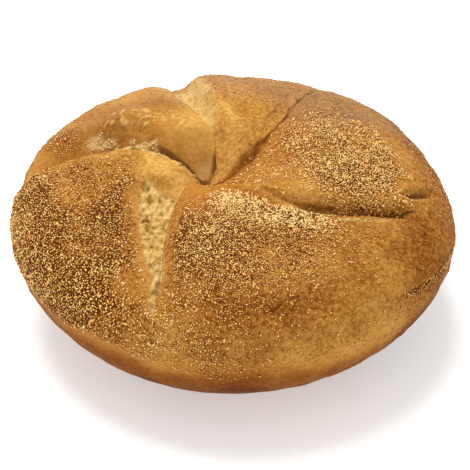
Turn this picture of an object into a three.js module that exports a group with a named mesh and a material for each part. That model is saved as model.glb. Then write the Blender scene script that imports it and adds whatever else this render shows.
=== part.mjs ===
// A kaiser roll: one round of baked dough, flat underneath, whose top is folded into five petals.
// Each petal laps over its clockwise neighbour, and the seams between them swirl out from a small pit.
// Millimetres, +Z up, origin on the surface it stands on, below the middle of the round.
// Angles are in degrees, counter-clockwise seen from above, from +X.

import * as THREE from "three";
import { mergeVertices } from "three/addons/utils/BufferGeometryUtils.js";

const { clamp, degToRad, lerp, smoothstep } = THREE.MathUtils;

// The round of dough before its folds
const RADIUS = 54;
const HEIGHT = 46;
const EQUATOR_HEIGHT = 25;
const BASE_RADIUS = 31;
const CROWN_SQUARENESS = [2.4, 2.2]; // exponents of the upper side's curve, across and up
const FLANK_SQUARENESS = 1.62; // exponent of the lower side's curve, under 2 for a tapered foot

// The pit where the seams meet lies off the middle of the round
const SWIRL_CENTRE = new THREE.Vector2(-6.3, 3);
const CENTRE_SHIFT_POWER = 1.5; // how fast rings round the pit become rings round the middle
const PIT_DEPTH = 13;

// Seams, counter-clockwise from the one at the right. Along a seam the angle is
// rim - sweep * (1 - ring) ** power, where ring runs from 0 at the pit to 1 at the widest edge, and close to
// the pit it bends round by the "hook".
// "starts" and "ends" give the rings between which the seam grows deep and fades out again, past 1 where it
// runs over the edge. "over" is the rounded side of the petal on top, and "under" the side of the petal that
// is tucked in, which slopes down to a "floor" beside the seam. The floor's two values are its widths at the
// pit and at the edge.
const SEAMS = [
  {
    rim: -14.5, sweep: 86, power: 1.42, hook: 48, depth: 7, starts: [0.3, 0.75], ends: [0.72, 0.92],
    over: 5, under: 3.5, floor: [0.3, 0.3],
  },
  {
    rim: 58, sweep: 104, power: 3, hook: 0, depth: 1.4, starts: [0.02, 0.14], ends: [0.85, 1.2],
    over: 6, under: 3, floor: [0.2, 0.2],
  },
  {
    rim: 109, sweep: 65, power: 4, hook: 0, depth: 5.5, starts: [0.02, 0.14], ends: [0.6, 1.15],
    over: 10, under: 4.5, floor: [0.2, 4],
  },
  {
    rim: 176, sweep: 17, power: 1.5, hook: 90, depth: 9.5, starts: [0.02, 0.14], ends: [0.5, 1.1],
    over: 2.2, under: 8, floor: [4, 5.5],
  },
  {
    rim: 253, sweep: 12, power: 1, hook: 42, depth: 5.6, starts: [0.02, 0.14], ends: [0.55, 0.98],
    over: 2.5, under: 5, floor: [17.5, -0.9],
  },
];
const HOOK_REACH = 0.17; // ring by which most of a seam's hook is behind it
const FLOOR_START = [0.24, 0.42]; // rings over which the floors open
const FLOOR_FALL = 0.35; // share of a seam's depth that its floor itself slopes

// Petals, counter-clockwise, each between its seam above and the next one. "tip" is the ring by which the
// petal has climbed most of the way out of the pit, "fall" how sharply its tip drops into it, "lift" how far
// the petal stands above the round and "reach" how far its rim stands out from it.
const PETALS = [
  { tip: 0.3, fall: 2, lift: 0.8, reach: 0.2 }, // right
  { tip: 0.13, fall: 2, lift: -0.4, reach: -0.3 }, // back
  { tip: 0.14, fall: 2, lift: -1.4, reach: -0.6 }, // back left
  { tip: 0.14, fall: 5, lift: -3, reach: -0.5 }, // left
  { tip: 0.24, fall: 5, lift: -2.4, reach: 0.8 }, // front
];
const LIFT_START = [0.02, 0.14]; // rings over which a petal gains its lift
const RIM_BAND = [0.6, 1]; // rings over which a petal's lift turns into its reach
const FOOT_BAND = [1.2, 1.9]; // rings over which the relief dies out towards the foot

// Short creases in the skin, from one place to another, each as [turn, ring]. They fade towards their ends.
const CREASES = [
  { from: [256, 0.9], to: [312, 0.94], depth: 0.9, width: 2.6 },
  { from: [-17, 0.78], to: [-3, 0.94], depth: 1.5, width: 2.4 },
  { from: [28, 0.22], to: [58, 0.64], depth: 0.7, width: 1.3 },
  { from: [36, 0.94], to: [-8, 0.96], depth: 1.2, width: 7 },
];

// Slow unevenness of the skin: waves in plan, each [waves per mm along X, along Y, phase, height]
const WAVES = [
  [0.052, 0.031, 0.7, 0.3],
  [-0.028, 0.061, 2.1, 0.3],
  [0.083, -0.067, 4.0, 0.15],
];

// Facets
const COLUMNS_PER_PETAL = 19;
const CROWN_ROWS = 42;
const FLANK_ROWS = 15;
const SEAM_CROWDING = 0.72; // how strongly columns gather at the seams, from 0 to 1
const MERGE_DISTANCE = 1e-4;

const COUNT = SEAMS.length;

// The angle of a seam at a ring, in degrees. Past the last seam the count goes on round the roll.
function seamAngle(index, ring) {
  const seam = SEAMS[index % COUNT];
  const turns = Math.floor(index / COUNT);
  const sweep = seam.sweep * Math.pow(1 - Math.min(ring, 1), seam.power);
  const hook = seam.hook * Math.exp(-((ring / HOOK_REACH) ** 2));
  return seam.rim + 360 * turns - sweep + hook;
}

// A petal property at any place round the roll: each petal's value at its middle, eased in between.
function petalValue(place, key) {
  const shifted = place - 0.5 + COUNT;
  const before = Math.floor(shifted) % COUNT;
  const share = smoothstep(shifted - Math.floor(shifted), 0, 1);
  return lerp(PETALS[before][key], PETALS[(before + 1) % COUNT][key], share);
}

// The round's outline, by the angle down from the crown: 0 at the top, 90 at the widest edge and 180
// where it meets the surface it stands on. Gives the ring, past 1 on the flank, the radius and the height.
function outline(angle) {
  const across = Math.abs(Math.sin(angle));
  const up = Math.abs(Math.cos(angle));
  if (angle <= Math.PI / 2) {
    const ring = Math.pow(across, 2 / CROWN_SQUARENESS[0]);
    const rise = Math.pow(1 - Math.pow(ring, CROWN_SQUARENESS[0]), 1 / CROWN_SQUARENESS[1]);
    return { ring, radius: RADIUS * ring, height: lerp(EQUATOR_HEIGHT, HEIGHT, rise) };
  }
  const spread = Math.pow(across, 2 / FLANK_SQUARENESS);
  const drop = Math.pow(up, 2 / FLANK_SQUARENESS);
  return {
    ring: 1 + drop,
    radius: lerp(BASE_RADIUS, RADIUS, spread),
    height: EQUATOR_HEIGHT * (1 - drop),
  };
}

// The outward normal of the round's outline, as [outward, upward], from two close points on it.
function outlineNormal(angle) {
  const step = degToRad(0.5);
  const a = outline(clamp(angle - step, 0, Math.PI));
  const b = outline(clamp(angle + step, 0, Math.PI));
  const length = Math.hypot(b.radius - a.radius, b.height - a.height);
  return [(a.height - b.height) / length, (b.radius - a.radius) / length];
}

// A rounded petal edge: full depth at the seam, level one width away.
function roundedEdge(distance, width) {
  const x = clamp(1 - distance / width, 0, 1);
  return 1 - Math.sqrt(1 - x * x);
}

// A tucked petal side: it slopes down to the seam's floor, which falls on towards the seam itself.
function tuckedSlope(distance, floor, width) {
  const side = 1 - smoothstep(distance, floor, floor + width);
  const fall = 1 - smoothstep(distance, 0, floor + width);
  return lerp(side, fall, FLOOR_FALL);
}

// How wide a seam's floor is at a ring.
function floorWidth({ floor }, ring) {
  return Math.max(lerp(...floor, Math.min(ring, 1)), 0) * smoothstep(ring, ...FLOOR_START);
}

// How far below a petal that stands at a lift the bottom of a seam lies at a ring.
function seamCut({ depth, starts, ends }, ring, lift) {
  return lift + depth * smoothstep(ring, ...starts) * (1 - smoothstep(ring, ...ends));
}

// How deep the seams on both sides of a petal cut at a place in it, from the petal's own lift there.
function seamDepth(index, ring, turn, lift) {
  const arc = degToRad(1) * RADIUS * Math.min(ring, 1);
  const lapped = SEAMS[index];
  const tucked = SEAMS[(index + 1) % COUNT];
  const fromLapped = (turn - seamAngle(index, ring)) * arc;
  const fromTucked = (seamAngle(index + 1, ring) - turn) * arc;
  const edge = seamCut(lapped, ring, lift) * roundedEdge(fromLapped, lapped.over);
  const slope = seamCut(tucked, ring, lift) * tuckedSlope(fromTucked, floorWidth(tucked, ring), tucked.under);
  return Math.cbrt(edge ** 3 + slope ** 3);
}

// How deep the creases cut at a place.
function creaseDepth(ring, turn) {
  let sum = 0;
  for (const { from, to, depth, width } of CREASES) {
    const start = creasePlace(...from, ring);
    const along = creasePlace(...to, ring).sub(start);
    const place = nearestTurn(turn, from[0]);
    const offset = creasePlace(place, ring, ring).sub(start);
    const share = clamp(offset.dot(along) / along.lengthSq(), 0, 1);
    const gap = offset.addScaledVector(along, -share).length();
    sum += depth * Math.exp(-((gap / width) ** 2)) * Math.sin(Math.PI * share);
  }
  return sum;
}

// A place on the skin as millimetres round and out, at the scale of a ring.
function creasePlace(turn, ring, scale) {
  return new THREE.Vector2(degToRad(turn) * RADIUS * scale, RADIUS * ring);
}

// The same turn, brought within half a round of another.
function nearestTurn(turn, other) {
  return turn - 360 * Math.round((turn - other) / 360);
}

function waveHeight(point) {
  let sum = 0;
  for (const [x, y, phase, height] of WAVES) {
    sum += height * Math.sin(2 * Math.PI * (x * point.x + y * point.y) + phase);
  }
  return sum;
}

// How deep the pit is at a place.
function pitDepth(place, ring) {
  return PIT_DEPTH * Math.exp(-((ring / petalValue(place, "tip")) ** petalValue(place, "fall")));
}

// How far the skin stands above the plain round, along the round's own normal. The seams and the pit run
// into each other instead of adding up.
function reliefHeight(index, place, ring, turn, plan) {
  const rim = smoothstep(ring, ...RIM_BAND);
  const lift = PETALS[index].lift * (1 - rim) * smoothstep(ring, ...LIFT_START);
  const folded = lift - seamDepth(index, ring, turn, lift);
  const sunk = Math.max(folded, 0) - Math.cbrt(Math.max(-folded, 0) ** 3 + pitDepth(place, ring) ** 3);
  const reach = petalValue(place, "reach") * rim;
  const waves = waveHeight(plan) * (1 - rim);
  return (sunk + reach + waves - creaseDepth(ring, turn)) * (1 - smoothstep(ring, ...FOOT_BAND));
}

// A point of the skin: place runs round the roll, one unit for each petal, and angle down its outline.
function skinPoint(place, angle) {
  const { ring, radius, height } = outline(angle);
  const index = Math.floor(place) % COUNT;
  const share = place - Math.floor(place);
  const crowded = share - (SEAM_CROWDING * Math.sin(2 * Math.PI * share)) / (2 * Math.PI);
  const turn = lerp(seamAngle(index, ring), seamAngle(index + 1, ring), crowded);
  const [outward, upward] = outlineNormal(angle);

  const plan = SWIRL_CENTRE.clone().multiplyScalar(1 - Math.pow(Math.min(ring, 1), CENTRE_SHIFT_POWER));
  const heading = new THREE.Vector2(Math.cos(degToRad(turn)), Math.sin(degToRad(turn)));
  plan.addScaledVector(heading, radius);
  const relief = reliefHeight(index, place, ring, turn, plan);
  plan.addScaledVector(heading, outward * relief);
  return new THREE.Vector3(plan.x, plan.y, height + upward * relief);
}

// The skin as a sphere's grid of facets, pulled into the roll's shape: its top pole is the pit, its rows run
// down over the edge to the foot, and its last row closes the flat underside.
function rollGeometry() {
  const columns = COUNT * COLUMNS_PER_PETAL;
  const skinRows = CROWN_ROWS + FLANK_ROWS;
  const geometry = new THREE.SphereGeometry(1, columns, skinRows + 1);
  const position = geometry.getAttribute("position");
  for (let row = 0; row <= skinRows + 1; row++) {
    const down = row <= CROWN_ROWS ? row / CROWN_ROWS : 1 + (row - CROWN_ROWS) / FLANK_ROWS;
    for (let column = 0; column <= columns; column++) {
      const place = row > 0 ? (column % columns) / COLUMNS_PER_PETAL : 0;
      const point = row > skinRows ? new THREE.Vector3() : skinPoint(place, (down * Math.PI) / 2);
      position.setXYZ(row * (columns + 1) + column, point.x, point.y, point.z);
    }
  }
  geometry.deleteAttribute("normal");
  geometry.deleteAttribute("uv");
  const closed = mergeVertices(geometry, MERGE_DISTANCE);
  closed.computeVertexNormals();
  return closed;
}

function crustMaterial() {
  return new THREE.MeshStandardMaterial({ name: "crust", color: 0xb5793c, roughness: 0.7, metalness: 0 });
}

const roll = new THREE.Mesh(rollGeometry(), crustMaterial());
roll.name = "roll";

const group = new THREE.Group();
group.name = "kaiser_roll";
group.add(roll);

export default group;
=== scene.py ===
"""The looks of a kaiser roll: its crust, the semolina grit on it, a pale floor, light and camera."""
import math
from types import SimpleNamespace

import bpy
import numpy as np
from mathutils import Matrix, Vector


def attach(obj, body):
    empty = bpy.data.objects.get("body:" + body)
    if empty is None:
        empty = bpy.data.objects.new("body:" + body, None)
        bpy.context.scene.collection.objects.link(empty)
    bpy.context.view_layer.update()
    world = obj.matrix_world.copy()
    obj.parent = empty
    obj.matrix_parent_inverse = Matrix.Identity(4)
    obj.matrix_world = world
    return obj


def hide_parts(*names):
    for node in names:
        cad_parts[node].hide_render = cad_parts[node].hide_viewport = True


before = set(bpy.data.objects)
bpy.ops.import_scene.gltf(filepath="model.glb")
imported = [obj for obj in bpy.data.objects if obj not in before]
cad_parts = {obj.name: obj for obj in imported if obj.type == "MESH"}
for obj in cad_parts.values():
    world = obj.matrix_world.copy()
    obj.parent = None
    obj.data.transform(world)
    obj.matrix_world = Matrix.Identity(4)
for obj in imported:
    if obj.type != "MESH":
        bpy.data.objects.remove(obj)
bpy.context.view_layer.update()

MM = 0.001

# The round of dough before its folds, as in the CAD model. Sizes are in mm, and turns in degrees
# counter-clockwise from +X. A ring is 0 in the middle of the crown, 1 at the widest level and 2 at the foot.
RADIUS = 54.0
HEIGHT = 46.0
EQUATOR_HEIGHT = 25.0
BASE_RADIUS = 31.0
CROWN_SQUARENESS = (2.4, 2.2)
FLANK_SQUARENESS = 1.62
SWIRL_CENTRE = np.array([-6.3, 3.0])
CENTRE_SHIFT_POWER = 1.5
PIT_DEPTH = 13.0
LIFT_START = (0.02, 0.14)
FLOOR_START = (0.24, 0.42)
FLOOR_FALL = 0.35
RIM_BAND = (0.6, 1.0)
FOOT_BAND = (1.2, 1.9)
SEAM_CROWDING = 0.72
HOOK_REACH = 0.17

# Petals and seams counter-clockwise. A petal lies between the seam of its own number and the next one.
# It laps over the seam of its own number and is tucked under the next.
RIGHT, BACK, BACK_LEFT, LEFT, FRONT = range(5)

# A seam meets the rim at a turn and sweeps back from there towards the pit, where it may hook round. It is
# cut to a depth between the rings where it starts and ends. "over" is the width of the rounded edge on the
# petal above it, "under" that of the slope on the petal below it, and "floor" the level between them, in the
# pit and at the rim.
SEAMS = [
    dict(rim=-14.5, sweep=86, power=1.42, hook=48, depth=7, starts=(0.3, 0.75), ends=(0.72, 0.92),
         over=5, under=3.5, floor=(0.3, 0.3)),
    dict(rim=58, sweep=104, power=3, hook=0, depth=1.4, starts=(0.02, 0.14), ends=(0.85, 1.2),
         over=6, under=3, floor=(0.2, 0.2)),
    dict(rim=109, sweep=65, power=4, hook=0, depth=5.5, starts=(0.02, 0.14), ends=(0.6, 1.15),
         over=10, under=4.5, floor=(0.2, 4)),
    dict(rim=176, sweep=17, power=1.5, hook=90, depth=9.5, starts=(0.02, 0.14), ends=(0.5, 1.1),
         over=2.2, under=8, floor=(4, 5.5)),
    dict(rim=253, sweep=12, power=1, hook=42, depth=5.6, starts=(0.02, 0.14), ends=(0.55, 0.98),
         over=2.5, under=5, floor=(17.5, -0.9)),
]
COUNT = len(SEAMS)

# A petal's tip drops into the pit round a ring, the more sharply the higher its fall. "lift" raises its top
# and "reach" moves its rim out, both in mm.
PETALS = [
    dict(tip=0.3, fall=2, lift=0.8, reach=0.2),
    dict(tip=0.13, fall=2, lift=-0.4, reach=-0.3),
    dict(tip=0.14, fall=2, lift=-1.4, reach=-0.6),
    dict(tip=0.14, fall=5, lift=-3, reach=-0.5),
    dict(tip=0.24, fall=5, lift=-2.4, reach=0.8),
]

# Creases run from one (turn, ring) to another. One whose depth is below 0 is a ridge.
FRONT_CREASE = dict(start=(256, 0.9), end=(312, 0.94), depth=0.9, width=2.6)
SIDE_FOLDS = [
    dict(start=(-18, 0.785), end=(-4, 0.93), depth=2.4, width=0.9),
    dict(start=(-19.5, 0.79), end=(-23, 0.91), depth=1.5, width=0.9),
    dict(start=(-14.5, 0.82), end=(-18.5, 0.88), depth=1.2, width=0.8),
]
CREASES = [
    FRONT_CREASE,
    *SIDE_FOLDS,
    dict(start=(28, 0.22), end=(58, 0.64), depth=0.7, width=1.3),
    dict(start=(36, 0.94), end=(-8, 0.96), depth=1.2, width=7),
    dict(start=(22, 0.77), end=(0, 0.85), depth=0.5, width=0.9),
    dict(start=(-19, 0.79), end=(-14, 0.835), depth=-0.8, width=0.8),
    dict(start=(-14, 0.83), end=(-19.5, 0.855), depth=-0.8, width=0.8),
    dict(start=(-20, 0.86), end=(-23, 0.96), depth=0.8, width=0.8),
]

# Low waves of the crown: (waves to the mm along X, along Y, phase in radians, height in mm)
WAVES = [(0.052, 0.031, 0.7, 0.3), (-0.028, 0.061, 2.1, 0.3), (0.083, -0.067, 4.0, 0.15)]

# The crust's facets
COLUMNS_PER_PETAL = 120
CROWN_ROWS = 130
FLANK_ROWS = 34
ROW_CROWDING = 1.2
NORMAL_STEP = math.radians(0.5)
POLE_DROP = 0.2

# Random unevenness, as layers of (amount, size of the lumps in mm, seed)
CRACK_WANDER = [(0.21, 2.6, 71), (0.09, 0.9, 72)]
CRACK_CLOSING = [(1.0, 2.4, 73)]
DOUGH_RAGGED = [(0.35, 1.4, 11), (0.5, 3.5, 12)]
CRUMB_RAGGED = [(0.35, 1.6, 13)]
FLAKE_RAGGED = [(0.004, 1.2, 14)]
EDGE_RAGGED = [(0.2, 1.2, 15)]
BROWN_CLOUDS = [(0.045, 16, 21), (0.035, 5, 22)]
GRIT_RAGGED = [(1.0, 5, 31)]
GRIT_CLOUDS = [(0.15, 7, 32)]
PLATEAU_RAGGED = [(0.06, 4, 33)]
CRUST_BUMPS = [(0.08, 3.2, 41), (0.035, 1.4, 42)]
BLOB_DRIPS = [(1.0, 0.85, 43)]
BLOB_LUMPS = [(0.5, 2.5, 48)]
DOUGH_FIBRES = [(0.16, 1.0, 44)]
DOUGH_BUMPS = [(0.16, 1.3, 46)]
DOUGH_PORES = [(1.0, 1.1, 45)]
WRINKLE_WANDER = [(0.3, 4, 47)]
WAVES_IN_LAYER = 40
WAVE_RATES = (0.7, 1.4)

# Narrow cracks beside the seams. "shift" is towards the petal that laps over, the value before "broken" how
# dark the crack is painted, as painted shade in it, and "broken" how much of it closes up here and there.
CRACKS = [
    dict(seam=3, shift=-0.5, rings=(0.05, 0.34), width=0.6, depth=1.0, painted_shade=1.0, broken=0.0),
    dict(seam=3, shift=-0.2, rings=(0.34, 0.62), width=0.35, depth=0.6, painted_shade=0.6, broken=0.8),
    dict(seam=2, shift=0.0, rings=(0.03, 0.1), width=0.4, depth=0.8, painted_shade=0.9, broken=0.0),
    dict(seam=2, shift=0.0, rings=(0.1, 0.32), width=0.25, depth=0.4, painted_shade=0.6, broken=1.0),
    dict(seam=1, shift=0.0, rings=(0.12, 0.95), width=0.45, depth=0.6, painted_shade=0.25, broken=0.7),
    dict(seam=1, shift=3.4, rings=(0.2, 0.66), width=0.4, depth=0.35, painted_shade=0.2, broken=0.9),
    dict(seam=0, shift=0.3, rings=(0.54, 0.88), width=0.4, depth=0.6, painted_shade=0.7, broken=0.4),
    dict(seam=3, shift=1.2, rings=(0.86, 1.02), width=0.5, depth=1.2, painted_shade=0.9, broken=0.2),
    dict(seam=4, shift=-0.2, rings=(0.76, 0.93), width=0.3, depth=0.6, painted_shade=0.6, broken=0.4),
]
# A crack fades over so many rings at its ends, and closes where its random field rises through these values.
CRACK_ENDS = 0.02
CRACK_CLOSED = (-0.3, 0.6)
# Painted shade: the folds at the right are painted darker with their depth, and the crevice under the left
# petal's lip dark all over.
FOLD_PAINTED_SHADE = 0.75
FOLD_DEPTHS = (0.9, 1.9)
CREVICE_PAINTED_SHADE = 0.9
FAR_AWAY = 1000.0

# What some areas are measured from. The open seam at the front left is as wide as its floor.
STRIP_WIDTH = SEAMS[FRONT]["floor"]
# A wedge of pale dough on the back petal is so wide at a ring, and widens outwards between two limits.
WEDGE_RING = 0.27
WEDGE_WIDTH = 1.5
WEDGE_WIDENING = 19
WEDGE_LIMITS = (0.8, 7.5)
# The left petal folds down at its lip, this far from its seam and at this ring beside the pit.
FOLD_GAP = 1.7
FOLD_RING = 0.155
# At these rings, the back left petal comes out from behind that lip at these distances from the seam.
LIP_RINGS = (0.03, 0.045, 0.067, 0.09, 0.112, 0.145, 0.19, 0.245, 0.3, 0.387, 0.44, 0.5, 0.57, 0.66, 0.75)
LIP_GAPS = (3.0, 3.9, 5.3, 5.8, 5.3, 4.4, 4.1, 3.9, 4.4, 6.4, 6.8, 6.8, 7.4, 8.1, 6.8)

# Areas of the crust, each with its share of an effect and the limits that it lies between. A limit is named
# after a measure of the skin and its kind: a rise or a fall from one value to another, a band between two
# values with soft edges, or a line round a value with a width. "wobble" is how far raggedness moves a limit.
TOP = (0.82, 1.05)
PAINTED_CROWN = (0.98, 1.08)
DOUGH_AREAS = [
    # The open seam at the front left, and its edge on the front petal
    dict(share=1.0, petal=LEFT, strip_rise=(-0.5, 0.7), ring_rise=(0.3, 0.37), ring_fall=(0.84, 0.93),
         wobble=dict(strip_rise=0.7, ring_rise=0.01)),
    dict(share=0.8, petal=FRONT, over_gap_fall=(0.2, 1.4), ring_band=(0.36, 0.86, 0.05),
         wobble=dict(over_gap_fall=0.3)),
    # The wedge on the back petal, fainter towards the rim, and the back left petal's fringe beside it
    dict(share=0.7, petal=BACK, wedge_rise=(-1.6, 1.6), ring_band=(0.18, 0.8, 0.07),
         wobble=dict(wedge_rise=1.2)),
    dict(share=-0.21, petal=BACK, wedge_rise=(-1.6, 1.6), ring_band=(0.18, 0.8, 0.07), ring_rise=(0.4, 0.75),
         wobble=dict(wedge_rise=1.2)),
    dict(share=0.7, petal=BACK_LEFT, over_gap_fall=(0.6, 2), ring_band=(0.17, 0.34, 0.04),
         wobble=dict(over_gap_fall=0.5)),
    dict(share=0.35, petal=BACK_LEFT, over_gap_fall=(1, 6), ring_band=(0.32, 0.8, 0.06),
         wobble=dict(over_gap_fall=1.0)),
    # A torn line below the right petal, and the tail of the open seam
    dict(share=0.9, petal=FRONT, under_gap_band=(4.1, 5.3, 0.4), ring_band=(0.68, 0.81, 0.02),
         wobble=dict(under_gap_band=0.3)),
    dict(share=1.0, petal=LEFT, under_gap_line=(1.6, 0.6), ring_band=(0.86, 0.95, 0.015),
         wobble=dict(under_gap_line=0.5)),
    # A pale haze at the back, which is painted sheen
    dict(share=0.17, petal=BACK, ring_rise=(0.45, 0.75), ring_fall=TOP),
    dict(share=0.17, petal=RIGHT, over_gap_rise=(30, 42), ring_fall=TOP),
]
LIP_CRUMBS = [
    dict(petal=BACK_LEFT, up_from_lip_line=(0.0, 0.55), ring_band=(0.25, 0.44, 0.03),
         wobble=dict(up_from_lip_line=1.0)),
    dict(petal=BACK_LEFT, up_from_lip_line=(0.3, 0.9), ring_band=(0.52, 0.67, 0.03),
         wobble=dict(up_from_lip_line=1.0)),
]
LIP_EDGE = dict(petal=LEFT, in_from_lip_band=(-0.2, 0.9, 0.3), ring_fall=(0.38, 0.46),
                wobble=dict(in_from_lip_band=1.0))
PIT_FLAKE = dict(share=0.5, petal=BACK_LEFT, ring_band=(0.033, 0.085, 0.008), over_gap_band=(0.4, 4.5, 0.5),
                 wobble=dict(ring_band=1.0))
# Where the crevice's painted shade lies: behind the left petal's lip, and at the bottom of the pit
CREVICES = [
    dict(petal=BACK_LEFT, up_from_lip_band=(-3, 0.5, 0.35), ring_fall=(0.22, 0.27)),
    dict(ring_fall=(0.018, 0.034)),
]
# How much browner or paler the crust is in areas; some of these are painted shade and painted light, as noted
BROWN_AND_SHADING_AREAS = [
    # The petals' tops; the lower flank, painted darker as painted shade; and the rim at the right, darker
    dict(share=0.06, petal=BACK, ring_fall=TOP),
    dict(share=0.04, petal=BACK_LEFT, ring_fall=TOP),
    dict(share=0.03, petal=LEFT, ring_fall=TOP),
    dict(share=0.04, petal=FRONT, ring_fall=TOP),
    dict(share=0.38, ring_rise=(0.98, 1.35)),
    dict(share=0.28, ring_rise=(0.8, 0.96), turn_from_left_band=(140, 250, 15)),
    # The back left petal's wall behind the lip, painted darker as painted shade, and its end beside the pit,
    # painted paler as painted light
    dict(share=0.12, petal=BACK_LEFT, under_gap_fall=(4, 9), ring_band=(0.24, 0.85, 0.06)),
    dict(share=-0.28, petal=BACK_LEFT, over_gap_fall=(5, 12), ring_band=(0.07, 0.36, 0.05)),
    # The back petal's pale tip and wedge, and its browner top
    dict(share=-0.25, petal=BACK, ring_fall=(0.1, 0.2)),
    dict(share=-0.25, petal=BACK, under_gap_fall=(5, 9), ring_band=(0.2, 0.8, 0.08)),
    dict(share=0.1, petal=BACK, ring_rise=(0.45, 0.75), ring_fall=TOP),
    # The right petal's browner back, and its wall above the front petal, painted paler as painted light
    dict(share=0.32, petal=RIGHT, over_gap_rise=(26, 40), ring_fall=TOP),
    dict(share=-0.1, petal=RIGHT, over_gap_fall=(4, 9), ring_band=(0.4, 0.85, 0.08)),
    # The front petal's paler foot, browner right, and its edge below the right petal, painted paler as a
    # painted highlight
    dict(share=-0.08, petal=FRONT, ring_band=(0.92, 1.2, 0.06)),
    dict(share=0.05, petal=FRONT, turn_rise=(285, 305), ring_band=(0.5, 0.9, 0.08)),
    dict(share=-0.25, petal=FRONT, under_gap_band=(0.6, 1.6, 0.4), ring_band=(0.25, 0.7, 0.06)),
    # The left petal's pale lip; its tip, pale as less baked and paler still with painted light; and its edge
    # beside the open seam
    dict(share=-0.25, petal=LEFT, over_gap_band=(0.8, 1.7, 0.5), ring_band=(0.16, 0.6, 0.08)),
    dict(share=-0.3, petal=LEFT, ring_rise=(0.1, 0.16), ring_fall=(0.26, 0.34)),
    dict(share=-0.1, petal=LEFT, strip_rise=(-4, 0), ring_band=(0.3, 0.95, 0.05)),
]
MEAN_BROWN = 0.44
# Painted shade along the front crease, so much darker for each mm of its depth
CREASE_PAINTED_SHADE = 0.3

# A painted sheen, pale and greyish, on the petals at the back, and the reddish brown of two petals' tips
# beside the pit
PAINTED_SHEEN_AREAS = [
    dict(share=0.2, petal=BACK, ring_rise=(0.35, 0.6), ring_fall=(0.85, 1.05)),
    dict(share=0.2, petal=RIGHT, over_gap_rise=(26, 38), ring_fall=(0.85, 1.05)),
    dict(share=0.1, petal=BACK_LEFT, ring_rise=(0.36, 0.55), under_gap_rise=(9, 14), ring_fall=(0.85, 1.05)),
]
BLUSH_AREAS = [
    dict(share=0.42, petal=FRONT, ring_fall=(0.4, 0.56)),
    dict(share=0.28, petal=RIGHT, ring_fall=(0.3, 0.66)),
]

# Small swellings on the back left petal, above the left petal's lip
BLOB_BAND = dict(petal=BACK_LEFT, under_gap_band=(9, 17, 1.5), ring_band=(0.2, 0.62, 0.05))
BLOB_STRETCH = 1.5
BLOB_RISE = (0.1, 1.5)
BLOB_HEIGHT = 0.5
BLOB_DOUGH = 0.28
BLOB_BROWN = -0.4
BLOB_BAND_BROWN = 0.08

# Fine relief in mm
PORE_RISE = (1.0, 1.8)
PORE_DEPTH = 0.6
# How dark the raw dough's pores are painted, as painted shade in them
PORE_PAINTED_SHADE = 0.6
FIBRE_SIZE = (0.7, 2.2)
WRINKLED = dict(petal=RIGHT, under_gap_band=(1, 9, 1.5), ring_band=(0.12, 0.55, 0.06))
WRINKLE_PITCH = 1.1
WRINKLE_HEIGHT = 0.16
SMOOTH_FOOT = (1.5, 1.9)

# Where the crust's specks are faint
CALM_SHARE = 0.8
CALM_FLANK = (0.95, 1.1)

# Coarse grit on the left and front petals. It ends below a line of rings over turns.
BELOW_STRIP = (0.86, 0.95)
LEFT_GRIT_COVER = 0.34
LEFT_GRIT_AREAS = [
    dict(share=0.14, over_gap_rise=(10, 34), wobble=dict(over_gap_rise=2)),
    dict(share=0.14, ring_rise=(0.74, 0.92), over_gap_rise=(8, 20), wobble=dict(ring_rise=0.03)),
]
LEFT_GRIT_LIMITS = dict(petal=LEFT, over_gap_rise=(2, 8), ring_rise=(0.24, 0.4), wobble=dict(ring_rise=0.03))
LEFT_GRIT_LACK = dict(share=0.65, ring_rise=(0.76, 0.9), under_gap_fall=(4, 19),
                      wobble=dict(under_gap_fall=2))
LEFT_OF_STRIP = dict(strip_fall=(-7, -0.5), wobble=dict(strip_fall=-1))
FRONT_GRIT_AREAS = [
    dict(share=0.5, turn_fall=(286, 335)),
    dict(share=-0.425, turn_fall=(286, 335), ring_rise=(0.74, 0.92)),
]
FRONT_GRIT_PATCHES = [dict(share=0.5, petal=FRONT, middle=(-4, -27), size=(16, 14))]
FRONT_GRIT_LIMITS = dict(petal=FRONT, under_gap_rise=(2, 4))
RIGHT_OF_STRIP = dict(over_gap_rise=(1.5, 5))
FRONT_GRIT_START = (0.4, 0.5)
FRONT_GRIT_LEAN = dict(share=0.14, turn_rise=(258, 285))
FRONT_GRIT_WOBBLE = 0.02
APRON = dict(share=0.2, petal=FRONT, ring_band=(0.86, 1.25, 0.05), turn_fall=(256, 290),
             wobble=dict(turn_fall=3))
GRIT_EDGE_TURNS = (190, 225, 240, 258, 275, 290, 305, 340)
GRIT_EDGE_RINGS = (1.05, 1.07, 1.07, 1.19, 1.25, 1.15, 1.0, 0.97)
GRIT_EDGE_FADE = (-0.05, 0.03)
GRIT_EDGE_WOBBLE = 0.02

# The front petal's crest: grit lies thickest within this distance of the right petal, and ends between two X
CREST_REACH = 8
CREST_FADE = 6
CREST_END = (16, 32)

# The level middle of the right petal: a slanting oval in plan, with less grit towards its back
PLATEAU_MIDDLE = (26.8, 1)
PLATEAU_AXES = ((5, -17.5), (12.8, 2.5))
PLATEAU_SQUARENESS = 2.5
PLATEAU_EDGE = (0.6, 1.2)
PLATEAU_BACK = (-8, 8)
PLATEAU_BACK_LACK = 0.35

# Patches of grit in plan, and a line of grains along the right rim
GRIT_PATCHES = [
    dict(share=0.25, petal=RIGHT, middle=(8, -4), size=(12, 10)),
    dict(share=0.25, petal=RIGHT, middle=(24, -13), size=(10, 4)),
    dict(share=0.4, petal=BACK_LEFT, middle=(-41, 17), size=(4, 7)),
    dict(share=0.5, petal=LEFT, middle=(-47, -1), size=(4, 6)),
]
CHAIN_TURNS = (316, 348)
CHAIN_ENDS = 3
CHAIN_HEIGHT = 26.2
CHAIN_RISE = 3.5
CHAIN_RISE_POWER = 1.6
CHAIN_BAND = (-0.6, 0.6, 0.4)

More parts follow.
